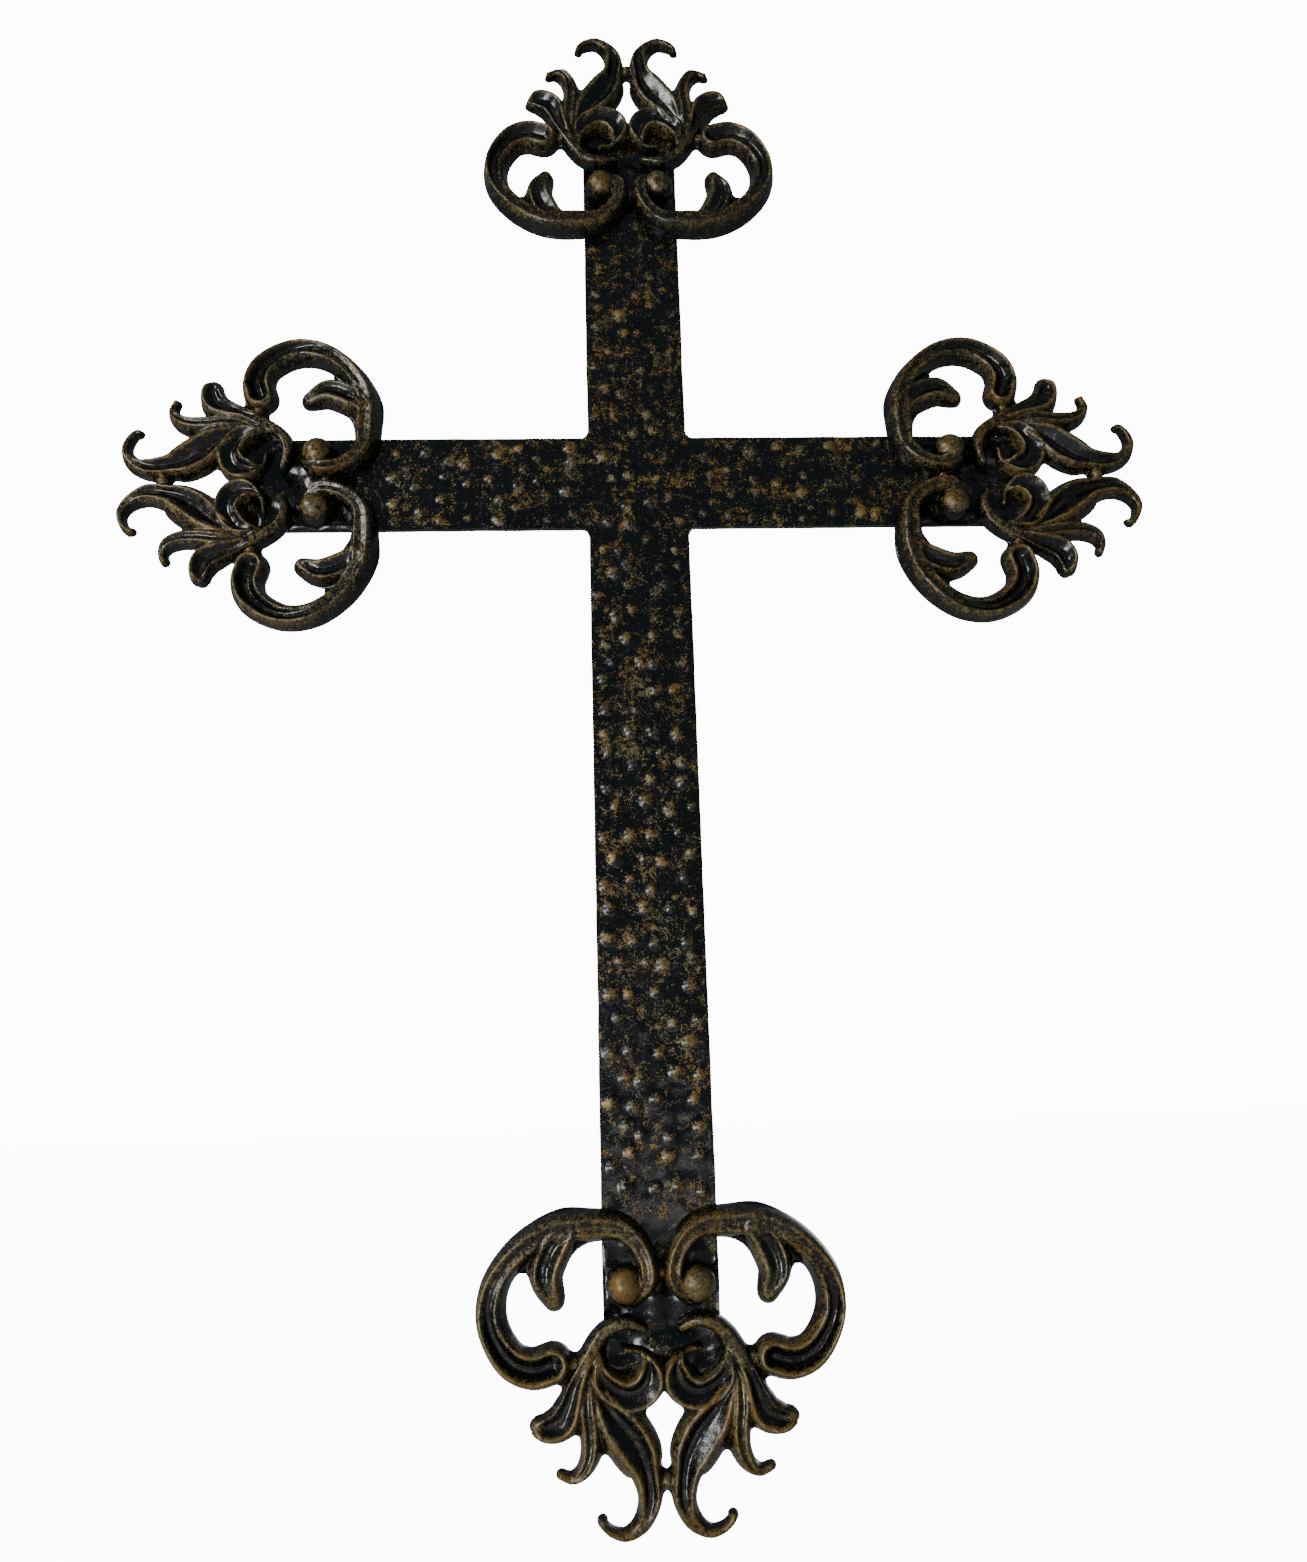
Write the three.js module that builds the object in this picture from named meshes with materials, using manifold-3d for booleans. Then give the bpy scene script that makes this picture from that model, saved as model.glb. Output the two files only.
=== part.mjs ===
// A wall cross: a flat upright bar and two flat arms, punched all over with small raised bumps,
// and one cast scroll-and-leaf finial fixed to the front of each bar's end.
// Millimetres. +Z is up, the front faces -Y, and the origin is the centre of the crossing on the
// flat back of the upright, which lies against the wall.
import * as THREE from "three";
import { mergeVertices } from "three/addons/utils/BufferGeometryUtils.js";
import Module from "manifold-3d";

const wasm = await Module();
wasm.setup();

// Bars
const barWidth = 50;
const barThickness = 3;
const upperReach = 168.6; // from the crossing's centre to the upper finial's origin
const lowerReach = 370.1;
const armReach = 154.3;
const weldLeg = 3; // the fillet where an arm meets the upright

// Finials
const finialWidth = 155.8;
const finialDepth = 11; // from the casting's flat back to the top of its balls
const barTail = 46; // how far the bar runs on under the casting, past the finial's origin
const seatGap = 0.3; // between pieces that touch

// Punched bumps
const bumpRowPitch = 12.1;
const bumpColumns = 4;
const bumpRadius = 2.9; // the smallest
const bumpRadiusSpread = 1.5;
const bumpSlope = 0.38; // height over radius
const bumpStagger = 5; // how far apart the columns of two neighbouring rows stand
const bumpWander = 3.4; // how far a bump may stray from its place in the row, each way
const bumpSink = 0.4; // how deep its foot goes into the bar, so that the two join
const bumpSides = 4;
const bumpMissing = 0.05; // share of the places that have none
const bumpMargin = 1.2; // plain strip along a bar's edges and beside the castings

// A limb's cross-section and its round end
const rimPlace = 0.7; // where a rim's top stands, from the spine at 0 to the limb's foot at 1
const endAngle = Math.PI / 3; // where the round end's one station stands on its arc
const endSlope = 0.72; // the height there, as a share of the limb's
const tipRise = { from: 0.7, to: 1 }; // the last stretch of a limb, where its back lifts off

// How high a limb's section stands: its right rim, its middle and its left rim, seen along the
// spine. A high middle is a rounded back, and a low one is a channel between two raised rims.
const thin = [3.5, 4.2, 3.5];
const stem = [6.5, 7.8, 6.5];
const tube = [7.8, 10, 8];
const channel = [9.4, 5.4, 8.8];
const leaf = [8, 5, 8.6];
const outerLeaf = [6, 5, 8.6];
const tip = [5.2, 6.8, 5.2];

// The finial's pattern is drawn on half of its width, which is then mirrored, in units of its own
// that the finial's width and depth set. u runs outwards along the bar and v across it, from the
// finial's origin midway between the two balls.
// Each limb is a ribbon along a smooth spine, made of this many stretches. A row gives the spine's
// v and u, the limb's width and its section.
const limbs = [
  {
    name: "big scroll",
    stretches: 16,
    lift: 0,
    rows: [
      [12, 10.4, 5.5, ...thin],
      [5.6, 2, 9.4, ...stem],
      [7.3, -9, 9.6, ...tube],
      [16, -18.6, 11.2, ...tube],
      [30, -20.3, 13.8, ...tube],
      [46, -19, 13, ...tube],
      [59.6, -11.8, 11.8, ...tube],
      [70, 2.5, 12.4, ...channel],
      [71.2, 17.3, 13.4, ...channel],
      [63, 31.8, 15, ...channel],
      [54, 35.2, 16.6, ...channel],
      [46, 33.4, 17, ...channel],
    ],
  },
  {
    name: "inner leaf of the scroll",
    stretches: 3,
    lift: 0,
    rows: [
      [40, -18.5, 12, ...thin],
      [44.8, -11.5, 15.4, ...leaf],
      [48.5, -0.5, 14.2, ...leaf],
      [45.2, 9, 9.2, ...tip],
    ],
  },
  {
    name: "curl, stem and outer lobe",
    stretches: 9,
    lift: 1.5,
    rows: [
      [8, 21.2, 4, ...thin],
      [15.4, 18.6, 6, ...stem],
      [24, 21.4, 7.4, ...stem],
      [32.2, 33, 9, ...stem],
      [36.4, 42, 8.6, ...outerLeaf],
      [39, 49.8, 12, ...outerLeaf],
      [42, 55.4, 14.4, ...outerLeaf],
      [48.4, 57.7, 10.6, ...outerLeaf],
      [52.6, 56.6, 6.4, ...tip],
    ],
  },
  {
    name: "small volute",
    stretches: 7,
    lift: 0,
    rows: [
      [27.6, 25.6, 3, ...thin],
      [27, 33, 6.6, ...stem],
      [24.2, 41, 10.6, ...leaf],
      [15, 46.2, 13.5, ...leaf],
      [7.8, 43.6, 14.5, ...leaf],
      [5.6, 36, 7, ...leaf],
      [8.6, 30.8, 3.6, ...thin],
      [15.5, 29.3, 2.6, ...thin],
    ],
  },
  {
    name: "middle lobe",
    stretches: 6,
    lift: 2,
    rows: [
      [31.4, 36, 4, ...thin],
      [31.2, 50, 9.6, ...leaf],
      [30.2, 60, 10, ...leaf],
      [31, 69, 8.6, ...leaf],
      [34.4, 74.6, 6.4, ...leaf],
      [38.6, 76.4, 5.2, ...tip],
      [42.8, 74.8, 4.4, ...tip],
    ],
  },
  {
    name: "long lobe",
    stretches: 9,
    lift: 2,
    rows: [
      [29.6, 39.4, 5, ...thin],
      [21.6, 54.6, 16, ...leaf],
      [14.6, 63.4, 21.5, ...leaf],
      [9, 74, 13.4, ...leaf],
      [7, 85.6, 10, ...leaf],
      [10.8, 94.4, 7.6, ...tip],
      [17, 98, 5.2, ...tip],
      [23, 96.4, 4.2, ...tip],
      [26.4, 93, 4.2, ...tip],
      [26.4, 92, 4.4, ...tip],
    ],
  },
];

// The casting's balls, and the short ties that join limbs that nearly touch: v, u, radius, height.
const ball = [15.2, 4, 8.2, 11];
const sideTie = [37.6, 34, 3, 6];
const middleTies = [
  [0, -0.6, 2.6, 5],
  [0, 41, 3.4, 5],
  [0, 78.6, 3.6, 6.5],
];

// Real size of one pattern unit in the casting's plane and towards its front, and how far the big
// scrolls reach back over the bar.
const farthest = (measure) => Math.max(...limbs.flatMap((limb) => limb.rows.map(measure)));
const plan = finialWidth / 2 / farthest(([v, , width]) => v + width / 2);
const relief = finialDepth / ball.at(-1);
const castingReach = farthest(([, u, width]) => width / 2 - u) * plan;

// A closed solid as a manifold, from any closed three.js geometry.
function solidOf(geometry) {
  const plain = geometry.clone();
  plain.deleteAttribute("normal");
  plain.deleteAttribute("uv");
  const merged = mergeVertices(plain, 1e-4);
  return new wasm.Manifold(
    new wasm.Mesh({
      numProp: 3,
      vertProperties: new Float32Array(merged.attributes.position.array),
      triVerts: new Uint32Array(merged.index.array),
    }),
  );
}

function geometryOf(solid) {
  const mesh = solid.getMesh();
  const geometry = new THREE.BufferGeometry();
  const positions = new THREE.BufferAttribute(new Float32Array(mesh.vertProperties), 3);
  geometry.setAttribute("position", positions);
  geometry.setIndex(new THREE.BufferAttribute(new Uint32Array(mesh.triVerts), 1));
  const faceted = geometry.toNonIndexed();
  faceted.computeVertexNormals();
  return faceted;
}

const joined = (solids) => solids.reduce((whole, next) => whole.add(next));

// The spine's point, direction, half width and heights at t from 0 to 1.
function stationAt(curves, t) {
  const step = 1e-3;
  const [place, heights] = curves;
  const here = place.getPoint(t);
  const before = place.getPoint(Math.max(0, t - step));
  const after = place.getPoint(Math.min(1, t + step));
  const along = new THREE.Vector2(after.x - before.x, after.y - before.y).normalize();
  const high = heights.getPoint(t);
  return {
    v: here.x,
    u: here.y,
    along,
    half: here.z / 2,
    rims: [high.z, high.y, high.x],
  };
}

// The stations along a limb, with one more on the arc of its round end.
function stationsOf(limb) {
  const curves = [0, 3].map(
    (first) =>
      new THREE.CatmullRomCurve3(
        limb.rows.map((row) => new THREE.Vector3(...row.slice(first, first + 3))),
        false,
        "centripetal",
      ),
  );
  const stations = [];
  for (let i = 0; i <= limb.stretches; i++) {
    const t = i / limb.stretches;
    const lift = limb.lift * THREE.MathUtils.smoothstep(t, tipRise.from, tipRise.to);
    stations.push({ ...stationAt(curves, t), lift });
  }
  const end = stations.at(-1);
  const advance = end.half * Math.sin(endAngle);
  stations.push({
    ...end,
    v: end.v + end.along.x * advance,
    u: end.u + end.along.y * advance,
    half: end.half * Math.cos(endAngle),
    rims: end.rims.map((height) => height * endSlope),
  });
  return stations;
}

// One limb's ribbon as a closed solid, mirrored when side is -1.
function limbGeometry(limb, side) {
  const stations = stationsOf(limb);
  const positions = [];
  for (const station of stations) {
    const [left, middle, right] = station.rims;
    const section = [
      [-1, station.lift],
      [-rimPlace, left],
      [0, middle],
      [rimPlace, right],
      [1, station.lift],
    ];
    for (const [across, height] of section) {
      const v = station.v + station.along.y * station.half * across;
      const u = station.u - station.along.x * station.half * across;
      positions.push(side * v * plan, -height * relief, u * plan);
    }
  }
  const count = positions.length / 3 / stations.length;
  const faces = [];
  for (let i = 0; i + 1 < stations.length; i++) {
    for (let j = 0; j < count; j++) {
      const a = i * count + j;
      const b = i * count + ((j + 1) % count);
      faces.push([a, b, b + count], [a, b + count, a + count]);
    }
  }
  // Both ends are fans round the section's middle point.
  const top = (count - 1) / 2;
  const last = (stations.length - 1) * count;
  for (let j = top + 1; j < top + count - 1; j++) {
    const b = j % count;
    const c = (j + 1) % count;
    faces.push([top, c, b], [last + top, last + b, last + c]);
  }
  const turned = side > 0 ? faces : faces.map(([a, b, c]) => [a, c, b]);
  const geometry = new THREE.BufferGeometry();
  geometry.setAttribute("position", new THREE.Float32BufferAttribute(positions, 3));
  geometry.setIndex(turned.flat());
  return geometry;
}

// A turned boss that stands on the casting's back, with its axis towards the front.
function boss([v, u, radius, height], profile, sides) {
  const outline = profile.map(
    ([out, up]) => new THREE.Vector2(out * radius * plan, up * height * relief),
  );
  const turned = new THREE.LatheGeometry(outline, sides);
  turned.rotateX(Math.PI);
  turned.translate(v * plan, 0, u * plan);
  return solidOf(turned);
}

// Profiles as shares of the boss's radius and height, from the foot's centre to the top.
const ballProfile = [[0, 0], [0.97, 0], [1, 0.35], [0.72, 0.82], [0, 1]];
const tieProfile = [[0, 0], [1, 0], [0.6, 1], [0, 1]];

function finialGeometry() {
  const solids = middleTies.map((tie) => boss(tie, tieProfile, 4));
  for (const side of [1, -1]) {
    solids.push(...limbs.map((limb) => solidOf(limbGeometry(limb, side))));
    const mirrored = ([v, ...rest]) => [side * v, ...rest];
    solids.push(boss(mirrored(ball), ballProfile, 8), boss(mirrored(sideTie), tieProfile, 4));
  }
  return geometryOf(joined(solids));
}

// A repeatable number from 0 to 1 for each n.
function chance(n) {
  return THREE.MathUtils.euclideanModulo(Math.sin(n * 12.9898) * 43758.5453, 1);
}

// Places of the bumps on a stretch of bar: distance along it, distance across it, radius and turn.
function bumpSpots(from, to, seed) {
  const { clamp, lerp } = THREE.MathUtils;
  const spots = [];
  const rows = Math.max(1, Math.round((to - from) / bumpRowPitch));
  const edge = barWidth / 2 - bumpMargin;
  for (let row = 0; row < rows; row++) {
    for (let column = 0; column < bumpColumns; column++) {
      const n = seed + row * bumpColumns + column + 1;
      const wander = (part) => bumpWander * (2 * chance(n + part) - 1);
      const radius = bumpRadius + bumpRadiusSpread * chance(n + 0.3) ** 2;
      const stagger = (row % 2 ? 0.5 : -0.5) * bumpStagger;
      const along = lerp(from, to, (row + 0.5) / rows) + wander(0.7);
      const across = lerp(-edge, edge, (column + 0.5) / bumpColumns) + stagger + wander(0.5);
      if (chance(n) > bumpMissing) {
        spots.push({
          along: clamp(along, from + bumpMargin + radius, to - bumpMargin - radius),
          across: clamp(across, radius - edge, edge - radius),
          radius,
          turn: n,
        });
      }
    }
  }
  return spots;
}

// A flat bar with bumps on its front. The outline and the bumps lie along X, and the front faces -Y.
function barGeometry(outline, spots) {
  const plate = new THREE.ExtrudeGeometry(outline, { depth: barThickness, bevelEnabled: false });
  plate.rotateX(Math.PI / 2);
  const bumps = spots.map(({ along, across, radius, turn }) => {
    const height = radius * bumpSlope + bumpSink;
    const bump = new THREE.ConeGeometry(radius, height, bumpSides);
    bump.rotateY(turn);
    bump.rotateX(Math.PI);
    bump.translate(along, bumpSink - barThickness - height / 2, across);
    return solidOf(bump);
  });
  return geometryOf(joined([solidOf(plate), ...bumps]));
}

function rectangle(from, to) {
  return new THREE.Shape()
    .moveTo(from, -barWidth / 2)
    .lineTo(to, -barWidth / 2)
    .lineTo(to, barWidth / 2)
    .lineTo(from, barWidth / 2);
}

// An arm's outline, from the upright's edge, with the two fillets of its weld.
function armOutline(from, to) {
  const half = barWidth / 2;
  return new THREE.Shape()
    .moveTo(from, -half - weldLeg)
    .quadraticCurveTo(from, -half, from + weldLeg, -half)
    .lineTo(to, -half)
    .lineTo(to, half)
    .lineTo(from + weldLeg, half)
    .quadraticCurveTo(from, half, from, half + weldLeg);
}

const barPaint = { color: 0x17201f, metalness: 0.35, roughness: 0.4 };
const castingPaint = { color: 0x2f2718, metalness: 0.4, roughness: 0.38 };

function piece(name, geometry, paint) {
  const mesh = new THREE.Mesh(geometry, new THREE.MeshStandardMaterial(paint));
  mesh.name = name;
  return mesh;
}

const cross = new THREE.Group();

// The upright is drawn from its foot to its head along X, then stood up.
const uprightOutline = rectangle(-lowerReach - barTail, upperReach + barTail);
const uprightSpots = bumpSpots(castingReach - lowerReach, upperReach - castingReach, 0);
const upright = piece("upright_bar", barGeometry(uprightOutline, uprightSpots), barPaint);
upright.rotation.y = -Math.PI / 2;
cross.add(upright);

// The two arms are drawn along X from the upright's edge, and the left one is turned round.
const armStart = barWidth / 2 + seatGap;
const arms = [
  { name: "right_arm", seed: 500, turn: 0 },
  { name: "left_arm", seed: 700, turn: Math.PI },
];
for (const { name, seed, turn } of arms) {
  const spots = bumpSpots(armStart + weldLeg, armReach - castingReach, seed);
  const arm = piece(name, barGeometry(armOutline(armStart, armReach + barTail), spots), barPaint);
  arm.rotation.y = turn;
  cross.add(arm);
}

// The four finials are the same casting, each turned to point outwards.
const casting = finialGeometry();
const seat = -barThickness - seatGap;
const finials = [
  { name: "upper_finial", turn: 0, x: 0, z: upperReach },
  { name: "right_finial", turn: Math.PI / 2, x: armReach, z: 0 },
  { name: "lower_finial", turn: Math.PI, x: 0, z: -lowerReach },
  { name: "left_finial", turn: -Math.PI / 2, x: -armReach, z: 0 },
];
for (const { name, turn, x, z } of finials) {
  const finial = piece(name, casting.clone(), castingPaint);
  finial.rotation.y = turn;
  finial.position.set(x, seat, z);
  cross.add(finial);
}

export default cross;
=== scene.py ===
import math

import bpy
import numpy as np
from mathutils import Euler, Matrix, Vector, noise


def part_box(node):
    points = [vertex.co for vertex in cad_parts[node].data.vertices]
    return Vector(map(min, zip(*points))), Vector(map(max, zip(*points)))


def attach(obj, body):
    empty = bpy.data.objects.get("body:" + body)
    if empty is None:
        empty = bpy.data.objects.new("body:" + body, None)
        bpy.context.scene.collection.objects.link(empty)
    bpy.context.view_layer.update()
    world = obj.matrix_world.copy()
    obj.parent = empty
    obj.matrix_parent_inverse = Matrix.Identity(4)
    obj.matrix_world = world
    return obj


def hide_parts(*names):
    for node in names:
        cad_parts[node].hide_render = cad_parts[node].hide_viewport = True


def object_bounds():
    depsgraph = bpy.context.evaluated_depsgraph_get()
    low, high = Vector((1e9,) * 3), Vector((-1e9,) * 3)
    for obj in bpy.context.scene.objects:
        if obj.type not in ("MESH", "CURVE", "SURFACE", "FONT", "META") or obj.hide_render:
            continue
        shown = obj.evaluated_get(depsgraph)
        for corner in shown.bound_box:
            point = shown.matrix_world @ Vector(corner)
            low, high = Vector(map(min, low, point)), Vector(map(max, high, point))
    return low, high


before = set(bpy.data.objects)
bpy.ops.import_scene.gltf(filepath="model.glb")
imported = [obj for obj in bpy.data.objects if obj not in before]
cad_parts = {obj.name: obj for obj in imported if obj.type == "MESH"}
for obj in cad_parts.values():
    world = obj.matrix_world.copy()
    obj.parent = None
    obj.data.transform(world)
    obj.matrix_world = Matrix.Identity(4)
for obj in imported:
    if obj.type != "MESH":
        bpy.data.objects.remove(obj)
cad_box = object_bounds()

# A wrought iron wall cross: three punched flat bars and four copies of one cast finial.
# Shapes are worked out in millimetres and turned to metres where a mesh is made.
MM = 0.001

# Sizes read from the solids
BAR_LOW, BAR_HIGH = (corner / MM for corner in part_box("upright_bar"))
ARM_LOW, ARM_HIGH = (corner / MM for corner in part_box("right_arm"))
CASTING_LOW, CASTING_HIGH = (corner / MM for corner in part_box("upper_finial"))
BAR_WIDTH = BAR_HIGH.x - BAR_LOW.x
BAR_THICKNESS = 3
CASTING_WIDTH = CASTING_HIGH.x - CASTING_LOW.x
CASTING_DEPTH = CASTING_HIGH.y - CASTING_LOW.y
WELD_LEG = 3

# The casting's relief
CELL = 0.46  # the relief's grid, then its reach across, and its start and end along the casting
GRID_WIDTH = 79
GRID_START = -29
GRID_END = 103
SPINE_STEPS = 500
OUTSIDE = -99.0  # the distance inside of a point that a limb doesn't reach
EDGE_HEIGHT = 1.4  # the casting's thickness at its outline
LEAST_HEIGHT = 0.6  # its least thickness, where a tip stands off the wall
MOST_LIFT = 2.0
LIFT_BLUR = 12
TIP_RISE = (0.7, 1)  # the part of a limb over which its tip leaves the wall
WAVER = 0.14  # the unevenness of a hand-finished casting
WAVER_SCALE = 3.2
WAVER_SEED = 7
SOFT_SHARE = 0.45  # a groove's side is partly an S-curve and partly a power curve
SIDE_POWER = 1.7
FULL_GROOVE = 2.5  # a groove of this depth has its whole bead and lips
BEAD_HEIGHT = 0.9  # the fine line along the bottom of each groove
BEAD_RADIUS = 0.45
LIP_HEIGHT = 0.3  # the thin lip along each ridge
LIP_RADIUS = 0.6
FILLET = 4  # the reach of the fillets between limbs
LEAF_FILLET = 8
WEB_RISE = 0.7  # how fast a fillet's top rises from the outline
WEB_REACH = 3
LEAF_NAME = "inner leaf of the scroll"
LEAF_CUT = 2.5  # the distance over which this leaf is sunk into the scroll
LEAF_CUT_START = -20
LEAF_CUT_RUN = 9
CASTING_GAP = 0.02  # how far the casting stays inside its solid's box
TOP_GAP = 0.05
SHARP_ANGLE = math.radians(75)
LEAST_SLOPE = 0.5  # keeps a point of the outline from moving too far where the distance is flat

# Where the gold and the painted highlight lie on the casting
CREST_OUTWARDS = 3.4  # the gold's reach from a ridge's crest, outwards and into the groove
CREST_INWARDS = 1.7
CREST_LOSS = 0.6
BACK_GOLD = 0.8  # the gold on the rounded top of a limb that has no groove
BACK_SLOPE = 1.6
# a painted highlight: how much lighter gold is painted on each groove's bead, where light catches it
BEAD_PAINTED_HIGHLIGHT = 0.5
KNOB_SLOPE = 2.6
KNOB_REACH = 1.02
PROUD_SHARE = 0.2  # the share of gold that depends on how far a point stands out from those near it
PROUD_RANGE = 1.4
PROUD_BLUR = 24

# The punched bumps, in the same places as on the solids
BUMP_ROW_PITCH = 12.1
BUMP_COLUMNS = 4
BUMP_RADIUS = 2.9
BUMP_RADIUS_SPREAD = 1.5
BUMP_SLOPE = 0.38
BUMP_STAGGER = 5
BUMP_WANDER = 3.4
BUMP_MISSING = 0.05
BUMP_MARGIN = 1.2
BUMP_POWER = 1.3
BUMP_GOLD_HEIGHT = 1.1  # a bump of this height has its whole share of gold
DIMPLE_SHARE = 0.7  # the depth of the dimple behind a bump, as a share of the bump's height
RIGHT_ARM_SEED = 500
LEFT_ARM_SEED = 700
SCATTER_STEP = 12.9898
SCATTER_SIZE = 43758.5453
RADIUS_DRAW = 0.3  # what is added to a bump's number for each of its scattered numbers
ACROSS_DRAW = 0.5
ALONG_DRAW = 0.7

# The bars
BAR_CELL = 0.95
CASTING_REACH = 27.2
BAR_TAIL = 46  # how far a bar runs on under its casting, past the point midway between the balls
LEAST_THICKNESS = 1.4
BAR_GAP = 0.02
HAMMER_DEPTH = 0.35  # long hollows, deeper where the bar runs under a casting
HAMMER_UNDER_CASTING = 3
HAMMER_SCALE = 9
HAMMER_SEED = 3
HAMMER_START = 18
HAMMER_RUN = 12
UNDER_CASTING_DROP = 0.35
UNDER_CASTING_GOLD_LOSS = 0.3
RIPPLE_DEPTH = 0.12
RIPPLE_SCALE = 4
RIPPLE_SEED = 5
EDGE_FADE = 2  # the relief dies out over this distance from the edge
EDGE_DROP = 0.1  # the slight rounding of the edge
EDGE_DROP_RUN = 1.6
EDGE_WANDER = 0.25  # the outline's unevenness
EDGE_INSET = 0.2
EDGE_SCALE = 14
EDGE_SEED = 9
TONGUE_DROP = 0.3  # an arm's sheet dips under the upright's where the two overlap

# Cross-sections of a limb, from its left edge to its right as seen along its spine. Each has the
# left ridge's place (-1 is the limb's left edge), height and share of gold, then the place and the
# height of the groove or back between the ridges, then the right ridge's three numbers.
THIN = (-0.3, 4.4, 0.7, 0.0, 4.6, 0.3, 4.4, 0.7)
STEM = (-0.35, 7.2, 0.8, 0.0, 7.6, 0.35, 7.2, 0.8)
TUBE = (-0.5, 9.4, 0.9, -0.28, 8.8, 0.36, 10.0, 0.75)
SPLIT = (-0.4, 8.9, 0.6, 0.05, 8.0, 0.55, 9.6, 0.9)
CHANNEL = (-0.32, 8.6, 0.55, 0.08, 5.4, 0.64, 9.5, 1.0)
WIDE_CHANNEL = (-0.6, 8.8, 0.9, 0.0, 4.6, 0.58, 9.5, 1.0)
FLUSH = (-0.5, 9.6, 0.7, 0.0, 9.2, 0.5, 9.8, 0.8)
LEAF = (-0.46, 8.6, 1.0, 0.14, 6.2, 0.6, 8.4, 0.7)
NARROW_LEAF = (-0.6, 8.0, 0.8, 0.0, 5.6, 0.55, 8.4, 0.9)
LOBE = (-0.64, 8.2, 0.9, -0.2, 4.8, 0.46, 8.8, 1.0)
TWIN_LEAF = (-0.24, 8.4, 0.8, 0.1, 6.4, 0.52, 8.0, 0.9)
CRESCENT = (-0.66, 8.6, 1.0, -0.1, 4.6, 0.74, 7.8, 1.0)
OUTER_LEAF = (-0.52, 8.8, 1.0, 0.15, 5.2, 0.68, 7.0, 0.35)
TIP = (-0.3, 6.4, 0.9, 0.0, 6.8, 0.3, 6.2, 0.9)

# Half of the casting: u runs outwards along the bar and v across it, from the point midway
# between the balls. A row is a point of a limb's spine, v then u, the limb's width, its section.
# The number before the rows is how far the limb's tip stands off the wall.
LIMBS = {
    "big scroll": (0, [
        (12, 10.4, 5.5, THIN),
        (5.6, 2, 9.4, TUBE),
        (7.3, -9, 9.6, TUBE),
        (16, -18.6, 11.2, TUBE),
        (30, -20.3, 13.8, TUBE),
        (46, -19, 13, TUBE),
        (59.6, -11.8, 11.8, TUBE),
        (70, 2.5, 12.4, SPLIT),
        (71.2, 17.3, 13.4, CHANNEL),
        (63, 31.8, 15, WIDE_CHANNEL),
        (54, 35.2, 16.6, WIDE_CHANNEL),
        (46, 33.4, 17, WIDE_CHANNEL),
    ]),
    LEAF_NAME: (0, [
        (40, -18.5, 12, FLUSH),
        (44.8, -11.5, 15.4, LEAF),
        (48.5, -0.5, 14.2, LEAF),
        (45.2, 9, 9.2, TIP),
    ]),
    "curl, stem and outer lobe": (1.5, [
        (8, 21.2, 4, THIN),
        (15.4, 18.6, 6, STEM),
        (24, 21.4, 7.4, STEM),
        (32.2, 33, 9, STEM),
        (36.4, 42, 8.6, OUTER_LEAF),
        (39, 49.8, 12, OUTER_LEAF),
        (42, 55.4, 14.4, OUTER_LEAF),
        (48.4, 57.7, 10.6, OUTER_LEAF),
        (52.6, 56.6, 6.4, TIP),
    ]),
    "small volute": (0, [
        (27.6, 25.6, 3, THIN),
        (27, 33, 6.6, STEM),
        (24.2, 41, 10.6, CRESCENT),
        (15, 46.2, 13.5, CRESCENT),
        (7.8, 43.6, 14.5, CRESCENT),
        (5.6, 36, 7, CRESCENT),
        (8.6, 30.8, 3.6, THIN),
        (15.5, 29.3, 2.6, THIN),
    ]),
    "middle lobe": (2, [
        (31.4, 36, 4, THIN),
        (31.2, 50, 9.6, TWIN_LEAF),
        (30.2, 60, 10, TWIN_LEAF),
        (31, 69, 8.6, TWIN_LEAF),
        (34.4, 74.6, 6.4, TWIN_LEAF),
        (38.6, 76.4, 5.2, TIP),
        (42.8, 74.8, 4.4, TIP),
    ]),
    "long lobe": (2, [
        (29.6, 39.4, 5, THIN),
        (21.6, 54.6, 16, LOBE),
        (14.6, 63.4, 21.5, LOBE),
        (9, 74, 13.4, LOBE),
        (7, 85.6, 10, NARROW_LEAF),
        (10.8, 94.4, 7.6, TIP),
        (17, 98, 5.2, TIP),
        (23, 96.4, 4.2, TIP),
        (26.4, 93, 4.2, TIP),
        (26.4, 92, 4.4, TIP),
    ]),
}
PATTERN_WIDTH = 155.8

# The paint
BLUE_BLACK = (0.001, 0.0018, 0.003)
GREEN_BLACK = (0.0022, 0.0034, 0.003)
DULL_GOLD = (0.04, 0.031, 0.011)
TAN_GOLD = (0.2, 0.156, 0.058)
RUSTY_GOLD = (0.16, 0.095, 0.02)
# a painted highlight: light cream gold painted along the ridges' lips and the grooves' beads
PAINTED_HIGHLIGHT_GOLD = (0.3, 0.24, 0.13)
GOLD_ROUGHNESS = 0.36
GOLD_METALLIC = 0.25
GOLD_THICKNESS = 0.35  # how far the gold stands on the black, as a share of the paint's grain
HAZE = 0.08
LARGE_PATCH_SHARE = 0.6
MEDIUM_GRAIN_SHARE = 0.5
RUST_RUN = 0.2

# The photo's camera
CAMERA_PLACE = (-0.02145, -0.53985, -0.2923)
CAMERA_TURN = (104.32513, 1.69294, -2.20472)
CAMERA_LENS = 27.196
CAMERA_SENSOR = 36

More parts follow.
